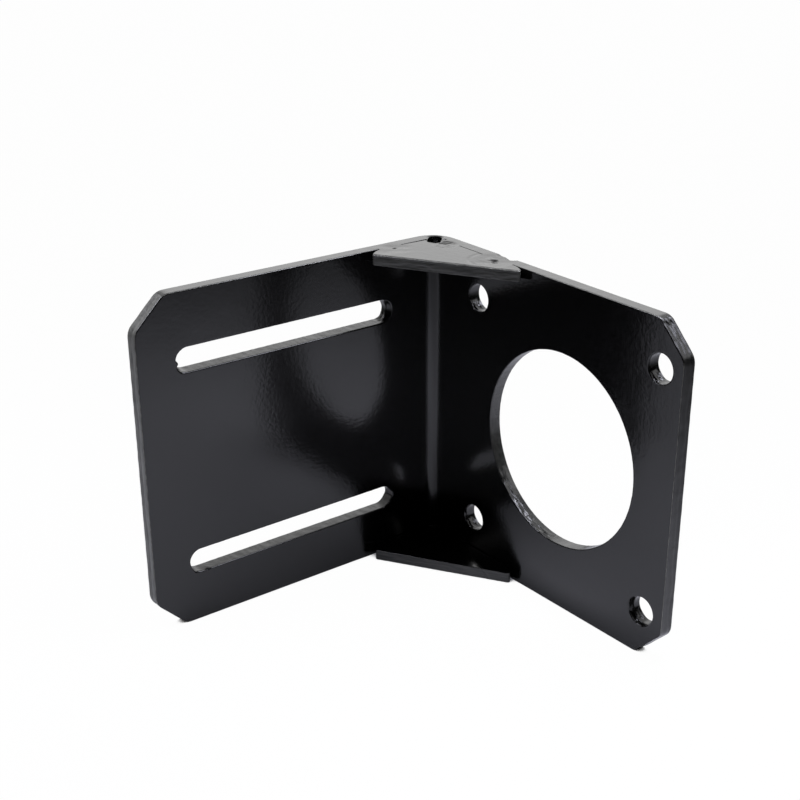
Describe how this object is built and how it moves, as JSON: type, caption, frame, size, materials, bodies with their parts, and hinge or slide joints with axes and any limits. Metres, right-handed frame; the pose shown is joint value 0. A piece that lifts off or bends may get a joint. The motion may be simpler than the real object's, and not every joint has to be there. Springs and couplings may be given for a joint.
{
  "type": "motor mounting bracket",
  "caption": "L-shaped sheet bracket with a piloted motor plate, a slotted base plate and welded triangular gussets across the corner.",
  "frame": {"origin": "centre of the pilot hole, on the face of the motor plate where the motor seats", "axes": "+X from the motor through the motor plate, the way its shaft points; +Y from the motor's axis to the slotted plate; +Z along the fold. The bracket stands on its lower edges."},
  "size_m": [0.068, 0.0684, 0.065],
  "materials": {
    "black_paint": "gloss black paint with fine orange peel on steel sheet"
  },
  "bodies": {
    "root": {"folded_plate": "black_paint", "upper_gusset": "black_paint", "lower_gusset": "black_paint", "upper_slotted_side_weld": "black_paint", "upper_motor_side_weld": "black_paint", "upper_corner_weld": "black_paint", "lower_slotted_side_weld": "black_paint", "lower_motor_side_weld": "black_paint", "lower_corner_weld": "black_paint"}
  },
  "joints": []
}
